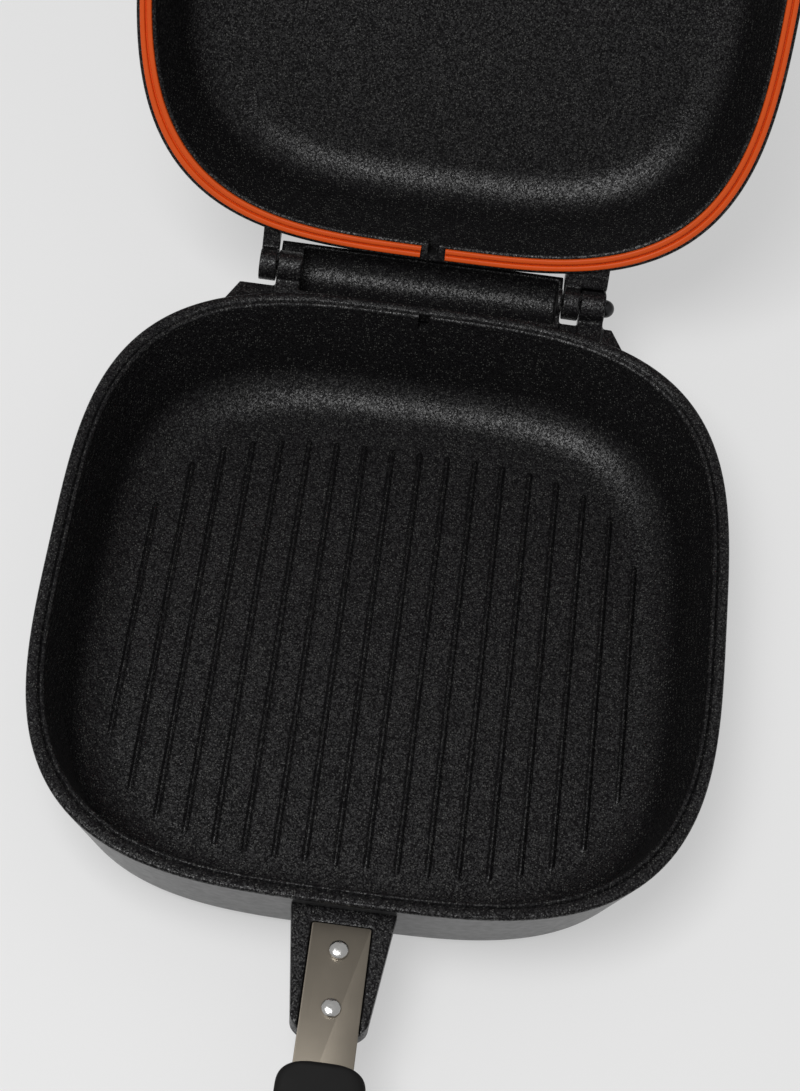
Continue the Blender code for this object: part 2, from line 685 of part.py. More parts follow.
def disc(name):
    """The magnet or the steel keeper in a grip's flat face."""
    low = GRIP_TOP_Z - MAGNET_THICKNESS
    made = turned(name, [(0, GRIP_TOP_Z), (MAGNET_RADIUS, GRIP_TOP_Z), (MAGNET_RADIUS, low), (0, low)])
    made.location = (0, GRIP_Y - MAGNET_PLACE, 0)
    return made


def half_handle(side, disc_name):
    return {
        "tang": [tang(side)],
        "rivets": [rivet(side + "_rivet_inner", RIVET_1), rivet(side + "_rivet_outer", RIVET_2)],
        "grip": [grip(side)],
        "screws": [grip_screw(side + "_grip_screw_1", SCREW_1), grip_screw(side + "_grip_screw_2", SCREW_2)],
        "disc": [disc(disc_name)],
    }


def dress(objects, finish):
    for obj in objects:
        obj.data.materials.clear()
        obj.data.materials.append(finish)
        obj.data.shade_smooth()
        obj.data.set_sharp_from_angle(angle=math.radians(35))


def empty(name, location, parent=None):
    made = bpy.data.objects.new(name, None)
    PAN_PARTS.objects.link(made)
    made.location = location
    made.parent = parent
    return made


def main():
    clear_scene()
    coating = material("black_stone_coating", (0.016, 0.016, 0.018), 0.55, 0.0)
    silicone = material("orange_silicone", (0.70, 0.065, 0.004), 0.45, 0.0)
    steel = material("brushed_stainless", (0.30, 0.26, 0.21), 0.38, 1.0)
    rivet_metal = material("rivet_aluminium", (0.80, 0.80, 0.78), 0.22, 1.0)
    plastic = material("black_grip_plastic", (0.012, 0.012, 0.013), 0.50, 0.0)
    pin_steel = material("pin_steel", (0.06, 0.06, 0.065), 0.40, 1.0)
    magnet_metal = material("magnet_nickel", (0.45, 0.45, 0.45), 0.30, 1.0)

    lower = lower_pan()
    upper = upper_pan()
    strip = seal()
    left_pin = hinge_pin("hinge_pin_left", -KNUCKLE_SPLIT, False)
    pins = [left_pin, hinge_pin("hinge_pin_right", KNUCKLE_SPLIT, True)]
    lower_handle = half_handle("lower", "lower_magnet")
    upper_handle = half_handle("upper", "upper_keeper")

    dress([lower, upper], coating)
    dress([strip], silicone)
    dress(pins, pin_steel)
    for handle in (lower_handle, upper_handle):
        dress(handle["tang"], steel)
        dress(handle["rivets"], rivet_metal)
        dress(handle["grip"], plastic)
        dress(handle["screws"], steel)
        dress(handle["disc"], magnet_metal)

    lower_half = empty("lower_half", (0, 0, PARTING_HEIGHT))
    lid_frame = empty("lid_frame", (0, HINGE_Y, PARTING_HEIGHT))
    lid_frame.rotation_euler = (-LID_OPEN, 0, 0)
    upper_half = empty("upper_half", (0, -HINGE_Y, 0), lid_frame)
    upper_half.scale = (1, 1, -1)
    for obj in [lower, *pins, *sum(lower_handle.values(), [])]:
        obj.parent = lower_half
    for obj in [upper, strip, *sum(upper_handle.values(), [])]:
        obj.parent = upper_half


main()
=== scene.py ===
"""The looks of a double sided flip pan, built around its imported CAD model.

Each half is made bowl down in a half frame, as in the CAD: its origin is over the middle of the pan on the
plane where the closed halves meet, +Y points to the hinge and -Y to the handle. All lengths are in metres.
"""

import math

import bmesh
import bpy
from mathutils import Matrix, Vector


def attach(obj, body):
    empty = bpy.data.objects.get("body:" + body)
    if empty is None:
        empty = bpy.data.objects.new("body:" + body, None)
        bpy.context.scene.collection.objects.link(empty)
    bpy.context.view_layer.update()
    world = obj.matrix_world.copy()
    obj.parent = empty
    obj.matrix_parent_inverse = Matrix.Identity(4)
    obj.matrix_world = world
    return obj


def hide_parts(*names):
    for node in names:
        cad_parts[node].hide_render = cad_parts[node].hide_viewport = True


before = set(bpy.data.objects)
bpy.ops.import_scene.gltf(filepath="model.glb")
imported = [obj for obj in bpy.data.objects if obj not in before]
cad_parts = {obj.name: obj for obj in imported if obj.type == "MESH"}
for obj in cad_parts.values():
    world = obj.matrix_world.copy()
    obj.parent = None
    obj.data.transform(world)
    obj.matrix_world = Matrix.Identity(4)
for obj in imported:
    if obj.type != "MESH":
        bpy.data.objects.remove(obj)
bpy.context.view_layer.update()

# Sizes and angles shared with the CAD
PAN_WIDTH = 0.320
PAN_DEPTH = 0.332
OUTLINE_SQUARENESS = 3.4
RIM_GAP = 0.002
LOWER_OUTER_DRAFT = math.radians(14)
UPPER_OUTER_DRAFT = math.radians(19)
INNER_DRAFT = math.radians(13)
FLOOR_FILLET = 0.022
LOWER_HEIGHT = 0.060
LOWER_FLOOR = 0.0055
LOWER_BASE_FILLET = 0.012
LOWER_RIM_WIDTH = 0.008
UPPER_HEIGHT = 0.0535
UPPER_FLOOR = 0.003
UPPER_BASE_FILLET = 0.018
UPPER_RIM_WIDTH = 0.0095
CLEARANCE = 0.0003
OVERRUN = 0.002

RIDGE_COUNT = 18
RIDGE_PITCH = 0.01415
RIDGE_HEIGHT = 0.0018
RIDGE_FIELD_WIDTH = 0.2505
RIDGE_FIELD_DEPTH = 0.2400
RIDGE_FIELD_SQUARENESS = 3.6
RIDGE_FIELD_SHIFT = -0.0045

NOTCH_WIDTH = 0.0056
NOTCH_DEPTH = 0.009
NOTCH_REACH = 0.006
SEAL_INSET = 0.0021
SEAL_WIDTH = 0.0058
SEAL_GROOVE_DEPTH = 0.0024
SEAL_GAP_WIDTH = 0.0125

LID_OPEN = math.radians(122)
HINGE_BEHIND = 0.012
KNUCKLE_RADIUS = 0.008
KNUCKLE_SPLIT = 0.077
KNUCKLE_GAP = 0.0005
LOWER_KNUCKLE_LENGTH = 0.0125
UPPER_KNUCKLE_LENGTH = 0.0086
PIN_RADIUS = 0.0025
PIN_SETBACK = 0.0004
PIN_HEAD_RADIUS = 0.0045
PIN_HEAD_LENGTH = 0.0046
WEB_TOP_DROP = 0.0012
WEB_DROP = 0.017
WEB_BITE = 0.003
WEB_CORNER_ANGLE = math.radians(50)
STOP_REACH = 0.018
STOP_CLEARANCE = 0.0008
STOP_GAP_ANGLE = math.radians(2)
STOP_FACE_ANGLE = math.radians(112)
STOP_FOOT = 0.014
STOP_FOOT_ANGLE = math.radians(55)
SHELF_TOP_DROP = 0.003
SHELF_THICKNESS = 0.006
SHELF_SETBACK = 0.0095
SHELF_REACH = 0.009
SHELF_TAPER = 0.010
GUTTER_RADIUS = 0.0125
GUTTER_WALL = 0.0025
GUTTER_START = math.radians(205)
TROUGH_START = math.radians(190)
GUTTER_END = math.radians(370)
GUTTER_APRON = 0.005
GUTTER_APRON_DROP = 0.008
GUTTER_END_STEP = 0.0005
GUTTER_BOSS_RADIUS = 0.0075

LUG_DROP = 0.009
LUG_THICKNESS = 0.011
LUG_LENGTH = 0.0545
LUG_ROOT_WIDTH = 0.048
LUG_END_WIDTH = 0.034
LUG_CORNER = 0.007
LUG_BITE = 0.009
TANG_WIDTH = 0.026
TANG_THICKNESS = 0.0025
TANG_START = 0.0053
TANG_IN_GRIP = 0.045
RIVET_PLACES = (0.0172, 0.0440)
RIVET_HEAD = 0.0044
RIVET_HEAD_HEIGHT = 0.0022
RIVET_TAIL_HEIGHT = 0.0012
GRIP_START = 0.0715
GRIP_LENGTH = 0.125
GRIP_WIDTH = 0.038
GRIP_THICKNESS = 0.018
GRIP_GAP = 0.0007
SCREW_PLACES = (0.014, 0.036)
SCREW_SHANK = 0.0018
SCREW_HEAD = 0.0035
SCREW_HEAD_HEIGHT = 0.0020
SCREW_RECESS = 0.0035
MAGNET_PLACE = 0.086
MAGNET_RADIUS = 0.0070
MAGNET_THICKNESS = 0.0032
HANG_HOLE_PLACE = 0.110
HANG_HOLE_WIDTH = 0.009
HANG_HOLE_LENGTH = 0.018

# How finely the looks are made
OUTLINE_STEPS = 288
FILLET_STEPS = 14
EDGE_STEPS = 5
ROUND_STEPS = 48
DOME_STEPS = 10
CORNER_STEPS = 4
GUTTER_STEPS = 42
RIDGE_SECTION_STEPS = 10
GRIP_SECTION_STEPS = 36
GRIP_END_STEPS = 14
CAST_VOXEL = 0.0006
CAST_SMOOTHING_SHARE = 0.5
CAST_ROUNDS = 5
CAST_FACE_SHARE = 0.4

# Shapes that the CAD keeps plainer or leaves out
LOWER_RIM_EDGE = 0.0013
LOWER_RIM_INNER_EDGE = 0.0015
RIM_LINE_INSET = 0.0052
RIM_LINE_WIDTH = 0.0012
RIM_LINE_DEPTH = 0.0011
COAT_OVER_EDGE = 0.0022
UPPER_RIM_EDGE = 0.0009
UPPER_RIM_INNER_EDGE = 0.0017
CAP_RING = 0.004
RIDGE_FOOT_WIDTH = 0.0046
RIDGE_END_RUN = 0.0055
RIDGE_END_SHARES = (0, 0.12, 0.4, 0.75, 0.94, 1.0)
RIDGE_FLARE = 1.25
RIDGE_ROOT = 0.0010
RIDGE_SINK = 0.0001
UPPER_NOTCH_SKIN = 0.0042
SEAL_VALLEY_WIDTH = 0.0009
SEAL_VALLEY_DEPTH = 0.0016
SEAL_BEAD_ROUND = 0.0007
KNUCKLE_GROOVE = 0.0008
KNUCKLE_GROOVE_ANGLES = (math.radians(125), math.radians(165))
PIN_EDGE = PIN_RADIUS / 6
TANG_EDGE = 0.0004
TANG_CORNER = 0.0012
RIVET_SHANK = 0.00242
RIVET_TAIL_SHARES = (0.9, 0.7)
RIVET_DOME_POWER = 0.8
RIVET_FLAT_SHARE = 0.06
GRIP_END_RUN = 0.013
GRIP_END_LEAST_SHARE = 0.004
GRIP_TOP_ROUND = 0.0025
GRIP_TOP_TAPER = 1.4
SCREW_CROSS = 0.0009
SCREW_EDGE = SCREW_HEAD / 5
MAGNET_EDGE = MAGNET_RADIUS / 18

# Worked out from the sizes above
RIM_Z = -RIM_GAP / 2
HINGE_Y = PAN_DEPTH / 2 + HINGE_BEHIND
FRONT_Y = -PAN_DEPTH / 2
PARTING_HEIGHT = LOWER_HEIGHT + RIM_GAP / 2
WEB_TOP_Z = RIM_Z - WEB_TOP_DROP
LUG_TOP_Z = RIM_Z - LUG_DROP
LUG_BOTTOM_Z = LUG_TOP_Z - LUG_THICKNESS
TANG_TOP_Z = LUG_TOP_Z
TANG_BOTTOM_Z = TANG_TOP_Z - TANG_THICKNESS
GRIP_TOP_Z = -GRIP_GAP / 2
GRIP_BOTTOM_Z = GRIP_TOP_Z - GRIP_THICKNESS
GRIP_Y = FRONT_Y - GRIP_START

LOWER_PLACE = Matrix.Translation((0, 0, PARTING_HEIGHT))
UPPER_PLACE = (
    Matrix.Translation((0, HINGE_Y, PARTING_HEIGHT))
    @ Matrix.Rotation(-LID_OPEN, 4, "X")
    @ Matrix.Translation((0, -HINGE_Y, 0))
    @ Matrix.Diagonal((1, 1, -1, 1))
)
HALVES = {"lower": (LOWER_PLACE, "lower"), "upper": (UPPER_PLACE, "lid")}


# Materials

NOISE_MIDDLE = (0.3, 0.7)
FLECKS_PER_METRE = 1000.0
GLINTS_PER_METRE = 1500.0


class Nodes:
    """Short calls for building one material's node tree."""

    def __init__(self, name):
        self.material = bpy.data.materials.new(name)
        self.material.use_nodes = True
        self.tree = self.material.node_tree
        self.shader = self.tree.nodes["Principled BSDF"]

    def add(self, kind, inputs=None, **settings):
        node = self.tree.nodes.new(kind)
        for key, value in settings.items():
            setattr(node, key, value)
        for key, value in (inputs or {}).items():
            self.feed(node.inputs[key], value)
        return node

    def feed(self, socket, value):
        if isinstance(value, bpy.types.NodeSocket):
            self.tree.links.new(value, socket)
        else:
            socket.default_value = value

    def set(self, **values):
        for key, value in values.items():
            self.feed(self.shader.inputs[key.replace("_", " ")], value)

    def place(self, stretch=(1, 1, 1)):
        """Object coordinates, stretched."""
        coordinates = self.add("ShaderNodeTexCoord").outputs["Object"]
        return self.add("ShaderNodeMapping", {"Vector": coordinates, "Scale": stretch}).outputs["Vector"]

    def noise(self, scale, detail=2.0, stretch=(1, 1, 1), roughness=0.5):
        inputs = {"Vector": self.place(stretch), "Scale": scale, "Detail": detail, "Roughness": roughness}
        return self.add("ShaderNodeTexNoise", inputs).outputs["Fac"]

    def map_range(self, value, low, high, to_low, to_high):
        inputs = {"Value": value, "From Min": low, "From Max": high, "To Min": to_low, "To Max": to_high}
        return self.add("ShaderNodeMapRange", inputs).outputs["Result"]

    def math(self, operation, first, second):
        return self.add("ShaderNodeMath", {0: first, 1: second}, operation=operation).outputs[0]

    def set_roughness(self, noise, low, high):
        """Roughness from low to high over the middle of a noise's range."""
        self.set(Roughness=self.map_range(noise, *NOISE_MIDDLE, low, high))

    def mix(self, share, first, second):
        node = self.add("ShaderNodeMix", {"Factor": share}, data_type="RGBA")
        self.feed(node.inputs[6], first)
        self.feed(node.inputs[7], second)
        return node.outputs[2]

    def bump(self, height, distance, strength=1.0):
        inputs = {"Height": height, "Distance": distance, "Strength": strength}
        return self.add("ShaderNodeBump", inputs).outputs["Normal"]


def grey(level, alpha=1.0):
    return (level, level, level, alpha)


def stone_coat():
    """Black non-stick coat with a fine orange-peel grain and small pale flecks."""
    nodes = Nodes("stone_coat")
    cells = nodes.add("ShaderNodeTexVoronoi", {"Vector": nodes.place(), "Scale": FLECKS_PER_METRE})
    pick = nodes.add("ShaderNodeSeparateColor", {"Color": cells.outputs["Color"]}).outputs["Red"]
    chosen = nodes.map_range(pick, 0.70, 0.72, 0.0, 1.0)
    spot = nodes.map_range(cells.outputs["Distance"], 0.20, 0.42, 1.0, 0.0)
    flecks = nodes.math("MULTIPLY", chosen, spot)
    cloud = nodes.noise(14.0, 3.0)
    base = nodes.mix(cloud, (0.0050, 0.0047, 0.0054, 1), (0.0066, 0.0062, 0.0066, 1))
    nodes.set(Base_Color=nodes.mix(flecks, base, (0.075, 0.075, 0.070, 1)))
    glints = nodes.add("ShaderNodeTexVoronoi", {"Vector": nodes.place(), "Scale": GLINTS_PER_METRE})
    shine = nodes.add("ShaderNodeSeparateColor", {"Color": glints.outputs["Color"]}).outputs["Green"]
    nodes.set(Specular_IOR_Level=nodes.map_range(nodes.math("MULTIPLY", shine, shine), 0.0, 1.0, 0.06, 0.85))
    grain = nodes.noise(900.0, 2.0, roughness=0.7)
    nodes.set_roughness(grain, 0.32, 0.42)
    nodes.set(Normal=nodes.bump(grain, 0.00025))
    return nodes.material


def grey_enamel():
    """The smooth satin enamel on the outside of both pans."""
    nodes = Nodes("grey_enamel")
    cloud = nodes.noise(9.0, 3.0)
    nodes.set(Base_Color=nodes.mix(cloud, (0.040, 0.040, 0.041, 1), (0.050, 0.050, 0.051, 1)))
    nodes.set_roughness(nodes.noise(240.0, 3.0), 0.30, 0.38)
    nodes.set(Normal=nodes.bump(nodes.noise(420.0, 2.0), 0.00002))
    nodes.set(Specular_IOR_Level=0.3)
    return nodes.material


def orange_silicone():
    nodes = Nodes("orange_silicone")
    cloud = nodes.noise(60.0, 3.0)
    nodes.set(Base_Color=nodes.mix(cloud, (0.74, 0.085, 0.004, 1), (0.82, 0.100, 0.005, 1)))
    nodes.set_roughness(nodes.noise(900.0, 2.0), 0.42, 0.55)
    nodes.set(Normal=nodes.bump(nodes.noise(1400.0, 1.0), 0.00003))
    nodes.set(Specular_IOR_Level=0.4)
    return nodes.material


def brushed_steel():
    """Stainless strip with brush marks along its length."""
    nodes = Nodes("brushed_steel")
    marks = nodes.noise(1.0, 4.0, (5200.0, 60.0, 60.0), 0.6)
    smear = nodes.noise(70.0, 3.0)
    nodes.set(Base_Color=nodes.mix(smear, (0.25, 0.22, 0.18, 1), (0.31, 0.275, 0.225, 1)))
    nodes.set_roughness(marks, 0.40, 0.52)
    nodes.set(Normal=nodes.bump(marks, 0.00002))
    nodes.set(Metallic=1.0)
    return nodes.material


def bright_rivet():
    nodes = Nodes("bright_rivet")
    dents = nodes.noise(700.0, 2.0)
    nodes.set(Base_Color=nodes.mix(dents, (0.82, 0.81, 0.79, 1), (0.92, 0.91, 0.89, 1)))
    nodes.set_roughness(nodes.noise(1500.0, 2.0), 0.14, 0.24)
    nodes.set(Normal=nodes.bump(dents, 0.00012))
    nodes.set(Metallic=1.0)
    return nodes.material


def grip_plastic():
    """Moulded black plastic with a very fine spark-eroded texture."""
    nodes = Nodes("grip_plastic")
    grain = nodes.noise(2600.0, 2.0, roughness=0.6)
    cloud = nodes.noise(40.0, 2.0)
    nodes.set(Base_Color=nodes.mix(cloud, (0.0052, 0.0050, 0.0050, 1), (0.0075, 0.0072, 0.0072, 1)))
    nodes.set_roughness(grain, 0.50, 0.62)
    nodes.set(Normal=nodes.bump(grain, 0.00005), Specular_IOR_Level=0.22)
    return nodes.material


def dark_steel():
    nodes = Nodes("dark_steel")
    cloud = nodes.noise(300.0, 3.0)
    nodes.set(Base_Color=nodes.mix(cloud, (0.020, 0.020, 0.021, 1), (0.035, 0.035, 0.037, 1)))
    nodes.set_roughness(nodes.noise(900.0, 2.0), 0.28, 0.42)
    nodes.set(Metallic=0.6)
    return nodes.material


def screw_steel():
    nodes = Nodes("screw_steel")
    cloud = nodes.noise(500.0, 3.0)
    nodes.set(Base_Color=nodes.mix(cloud, (0.42, 0.42, 0.41, 1), (0.56, 0.55, 0.53, 1)))
    nodes.set_roughness(nodes.noise(1200.0, 2.0), 0.24, 0.38)
    nodes.set(Metallic=1.0)
    return nodes.material


def bright_nickel():
    nodes = Nodes("bright_nickel")
    turning = nodes.noise(900.0, 3.0)
    nodes.set(Base_Color=nodes.mix(turning, (0.52, 0.51, 0.49, 1), (0.64, 0.63, 0.61, 1)))
    nodes.set_roughness(turning, 0.20, 0.32)
    nodes.set(Metallic=1.0)
    return nodes.material


COAT = stone_coat()
ENAMEL = grey_enamel()
SILICONE = orange_silicone()
STEEL = brushed_steel()
RIVET = bright_rivet()
PLASTIC = grip_plastic()
PIN_STEEL = dark_steel()
SCREW_STEEL = screw_steel()
NICKEL = bright_nickel()


# Mesh helpers


def make_object(name, shape, finishes):
    """A bmesh as an object, with its faces pointing out."""
    bmesh.ops.recalc_face_normals(shape, faces=shape.faces)
    mesh = bpy.data.meshes.new(name)
    shape.to_mesh(mesh)
    shape.free()
    obj = bpy.data.objects.new(name, mesh)
    bpy.context.scene.collection.objects.link(obj)
    for finish in finishes:
        mesh.materials.append(finish)
    return obj


def apply_modifiers(obj):
    bpy.context.view_layer.update()
    graph = bpy.context.evaluated_depsgraph_get()
    mesh = bpy.data.meshes.new_from_object(obj.evaluated_get(graph))
    obj.modifiers.clear()
    obj.data = mesh
    return obj


def combine(obj, operation, shapes):
    """Joins or cuts bmesh shapes in the EXACT way. Cut faces take the object's last material."""
    others = []
    for shape in shapes:
        other = make_object("helper", shape, obj.data.materials[-1:])
        others.append(other)
        modifier = obj.modifiers.new("boolean", "BOOLEAN")
        modifier.operation = operation
        modifier.object = other
        modifier.solver = "EXACT"
        modifier.material_mode = "TRANSFER"
    apply_modifiers(obj)
    for other in others:
        bpy.data.objects.remove(other)
    return obj


def cut_shape(shape, cutters):
    """A bmesh cut by others, as a new bmesh."""
    solid = combine(make_object("helper", shape, []), "DIFFERENCE", cutters)
    result = bmesh.new()
    result.from_mesh(solid.data)
    bpy.data.objects.remove(solid)
    return result


def place_piece(obj, half, slot, *nodes, sharp=35):
    """Puts a piece of one half in its place, shades it, lets it ride and hides the CAD parts it stands for.
    """
    place, body = HALVES[half]
    obj.data.transform(place)
    if place.determinant() < 0:
        obj.data.flip_normals()
    obj.data.shade_smooth()
    obj.data.set_sharp_from_angle(angle=math.radians(sharp))
    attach(obj, body)
    if nodes:
        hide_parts(*nodes)
    return obj


def loft(sections, finish_of=None):
    """Skins a row of equal point loops with flat ends. finish_of gives a strip's material index."""
    shape = bmesh.new()
    loops = [[shape.verts.new(point) for point in section] for section in sections]
    for row, (near, far) in enumerate(zip(loops, loops[1:])):
        for i in range(len(near)):
            j = (i + 1) % len(near)
            face = shape.faces.new((near[i], near[j], far[j], far[i]))
            face.material_index = finish_of(row) if finish_of else 0
    for loop, row in ((loops[0], 0), (loops[-1], len(loops) - 2)):
        face = shape.faces.new(loop)
        face.material_index = finish_of(row) if finish_of else 0
    return shape


def prism(points, run):
    """A flat outline drawn out along a vector."""
    shape = bmesh.new()
    face = shape.faces.new([shape.verts.new(point) for point in points])
    made = bmesh.ops.extrude_face_region(shape, geom=[face], use_keep_orig=True)
    far = [item for item in made["geom"] if isinstance(item, bmesh.types.BMVert)]
    bmesh.ops.translate(shape, vec=Vector(run), verts=far)
    return shape


def prism_x(outline, x0, x1):
    return prism([(x0, y, z) for y, z in outline], (x1 - x0, 0, 0))


def prism_z(outline, z0, z1):
    return prism([(x, y, z0) for x, y in outline], (0, 0, z1 - z0))


def box(low, high):
    shape = bmesh.new()
    size = Vector(high) - Vector(low)
    middle = (Vector(high) + Vector(low)) / 2
    bmesh.ops.create_cube(shape, size=1.0, matrix=Matrix.Translation(middle) @ Matrix.Diagonal((*size, 1.0)))
    return shape


def arc(middle, radius, start, end, steps):
    """Points on an arc, as (across, up) pairs."""
    points = []
    for i in range(steps + 1):
        angle = start + (end - start) * i / steps
        points.append((middle[0] + radius * math.cos(angle), middle[1] + radius * math.sin(angle)))
    return points


def turned(profile, place):
    """A closed turned shape from (radius, height) points, whose first and last points lie on its axis."""
    shape = bmesh.new()
    first = shape.verts.new((0, 0, profile[0][1]))
    last = shape.verts.new((0, 0, profile[-1][1]))
    rings = []
    for radius, height in profile[1:-1]:
        turns = [2 * math.pi * i / ROUND_STEPS for i in range(ROUND_STEPS)]
        rings.append([shape.verts.new((radius * math.cos(t), radius * math.sin(t), height)) for t in turns])
    for i in range(ROUND_STEPS):
        j = (i + 1) % ROUND_STEPS
        shape.faces.new((first, rings[0][i], rings[0][j]))
        shape.faces.new((last, rings[-1][j], rings[-1][i]))
        for near, far in zip(rings, rings[1:]):
            shape.faces.new((near[i], far[i], far[j], near[j]))
    bmesh.ops.transform(shape, matrix=place, verts=shape.verts)
    return shape


def cylinder(radius, start, end):
    start, end = Vector(start), Vector(end)
    run = end - start
    place = Matrix.Translation(start) @ run.to_track_quat("Z", "Y").to_matrix().to_4x4()
    return turned([(0, 0), (radius, 0), (radius, run.length), (0, run.length)], place)


# Shells


def outline_point(inset, angle):
    """The rounded-square outline, drawn in by inset, in the direction of an angle about the middle."""
    across = abs(math.cos(angle)) / (PAN_WIDTH / 2 - inset)
    along = abs(math.sin(angle)) / (PAN_DEPTH / 2 - inset)
    reach = (across**OUTLINE_SQUARENESS + along**OUTLINE_SQUARENESS) ** (-1 / OUTLINE_SQUARENESS)
    return reach * math.cos(angle), reach * math.sin(angle)


def outline_ring(inset, z):
    turns = [2 * math.pi * i / OUTLINE_STEPS for i in range(OUTLINE_STEPS)]
    return [(*outline_point(inset, turn), z) for turn in turns]


def back_wall_y(x, drop):
    inset = drop * math.tan(UPPER_OUTER_DRAFT)
    across = min(abs(x) / (PAN_WIDTH / 2 - inset), 1)
    return (PAN_DEPTH / 2 - inset) * (1 - across**OUTLINE_SQUARENESS) ** (1 / OUTLINE_SQUARENESS)


def wall_and_fillet(rim_inset, draft, foot_z, radius):
    """(inset, z) points down a drafted wall's fillet, from the wall to just inside the flat."""
    wall_end_z = foot_z + radius * (1 - math.sin(draft))
    middle_inset = rim_inset + (RIM_Z - wall_end_z) * math.tan(draft) + radius * math.cos(draft)
    points = []
    for i in range(FILLET_STEPS + 1):
        angle = draft + (math.pi / 2 - draft) * i / FILLET_STEPS
        points.append((middle_inset - radius * math.cos(angle), foot_z + radius * (1 - math.sin(angle))))
    return [*points, (middle_inset + CAP_RING, foot_z)]


def outer_edge(draft, radius):
    """(inset, z) points of the round between the outer wall and the rim's top."""
    middle = (radius / math.cos(draft) + radius * math.tan(draft), RIM_Z - radius)
    points = arc((0, 0), radius, -draft, math.pi / 2, EDGE_STEPS)
    return [(middle[0] - across, middle[1] + up) for across, up in points]


def inner_edge(rim_width, radius):
    """(inset, z) points of the round between the rim's top and the inner wall."""
    middle = (rim_width + radius * math.tan(INNER_DRAFT) - radius / math.cos(INNER_DRAFT), RIM_Z - radius)
    return arc(middle, radius, math.pi / 2, INNER_DRAFT, EDGE_STEPS)


def pan_shell(name, height, floor, draft, base_fillet, rim):
    """A pan body as one closed mesh, enamel outside and coated over the rim and inside."""
    base_z = RIM_Z - height
    outside = wall_and_fillet(0, draft, base_z, base_fillet)[::-1]
    coat_edge = (COAT_OVER_EDGE * math.tan(draft), RIM_Z - COAT_OVER_EDGE)
    enamelled = [*outside, coat_edge]
    rim_width = rim["width"]
    inside = wall_and_fillet(rim_width, INNER_DRAFT, base_z + floor, FLOOR_FILLET)
    rim_top = [*outer_edge(draft, rim["edge"]), *rim["top"], *inner_edge(rim_width, rim["inner_edge"])]
    coated = [*rim_top, *inside]
    sections = [outline_ring(inset, z) for inset, z in enamelled + coated]
    shape = loft(sections, lambda row: 0 if row < len(enamelled) - 1 else 1)
    return make_object(name, shape, [ENAMEL, COAT])


def drain_notch(rim_width, reach):
    back = PAN_DEPTH / 2
    low = (-NOTCH_WIDTH / 2, back - rim_width - NOTCH_DEPTH, RIM_Z - NOTCH_DEPTH)
    return box(low, (NOTCH_WIDTH / 2, back + reach, RIM_Z + OVERRUN))


def lower_shell():
    start, end = RIM_LINE_INSET, RIM_LINE_INSET + RIM_LINE_WIDTH
    round_off = RIM_LINE_WIDTH / 4
    line = [
        (start - round_off, RIM_Z),
        (start, RIM_Z - round_off),
        ((start + end) / 2, RIM_Z - RIM_LINE_DEPTH),
        (end, RIM_Z - round_off),
        (end + round_off, RIM_Z),
    ]
    rim = {"width": LOWER_RIM_WIDTH, "edge": LOWER_RIM_EDGE, "inner_edge": LOWER_RIM_INNER_EDGE, "top": line}
    body = (LOWER_HEIGHT, LOWER_FLOOR, LOWER_OUTER_DRAFT, LOWER_BASE_FILLET)
    shell = pan_shell("lower_shell", *body, rim)
    combine(shell, "DIFFERENCE", [drain_notch(LOWER_RIM_WIDTH, NOTCH_REACH)])
    return place_piece(shell, "lower", "coated_aluminium", "lower_pan", sharp=50)


def ridge_section(x, y, share):
    """The rounded cross-section of a ridge, with a flared foot, at a share of its full height."""
    floor_z = RIM_Z - LOWER_HEIGHT + LOWER_FLOOR
    points = []
    for i in range(RIDGE_SECTION_STEPS + 1):
        side = 2 * i / RIDGE_SECTION_STEPS - 1
        lift = (0.5 + 0.5 * math.cos(math.pi * side)) ** RIDGE_FLARE
        sink = RIDGE_SINK + RIDGE_ROOT / 2 * (1 - share)
        height = (RIDGE_HEIGHT + RIDGE_SINK) * lift * share - sink
        points.append((x + side * RIDGE_FOOT_WIDTH / 2, y, floor_z + height))
    foot = floor_z - RIDGE_ROOT
    return [*points, (x + RIDGE_FOOT_WIDTH / 2, y, foot), (x - RIDGE_FOOT_WIDTH / 2, y, foot)]


def grill_ridges():
    """All the ridges in one mesh: rounded bars that fall away smoothly at both ends."""
    mesh = bpy.data.meshes.new("grill_ridges")
    whole = bmesh.new()
    step = RIDGE_END_RUN / (len(RIDGE_END_SHARES) - 1)
    for i in range(RIDGE_COUNT):
        x = (i - (RIDGE_COUNT - 1) / 2) * RIDGE_PITCH
        across = abs(x) / (RIDGE_FIELD_WIDTH / 2)
        half = RIDGE_FIELD_DEPTH / 2 * (1 - across**RIDGE_FIELD_SQUARENESS) ** (1 / RIDGE_FIELD_SQUARENESS)
        stations = [(half - step * number, share) for number, share in enumerate(RIDGE_END_SHARES)]
        row = [(-y, share) for y, share in stations] + [(y, share) for y, share in reversed(stations)]
        bar = loft([ridge_section(x, RIDGE_FIELD_SHIFT + y, share) for y, share in row])
        bar.to_mesh(mesh)
        bar.free()
        whole.from_mesh(mesh)
    bpy.data.meshes.remove(mesh)
    ridges = make_object("grill_ridges", whole, [COAT])
    return place_piece(ridges, "lower", "coated_aluminium", sharp=60)


def seal_sections(outline, spare):
    """An (inset, z) outline set round the rim, open at the drain notch."""
    middle_y = PAN_DEPTH / 2 - SEAL_INSET - SEAL_WIDTH / 2
    half_gap = math.atan2(SEAL_GAP_WIDTH / 2 - spare, middle_y)
    start = math.pi / 2 + half_gap
    run = 2 * math.pi - 2 * half_gap
    sections = []
    for i in range(OUTLINE_STEPS + 1):
        angle = start + run * i / OUTLINE_STEPS
        sections.append([(*outline_point(inset, angle), z) for inset, z in outline])
    return sections


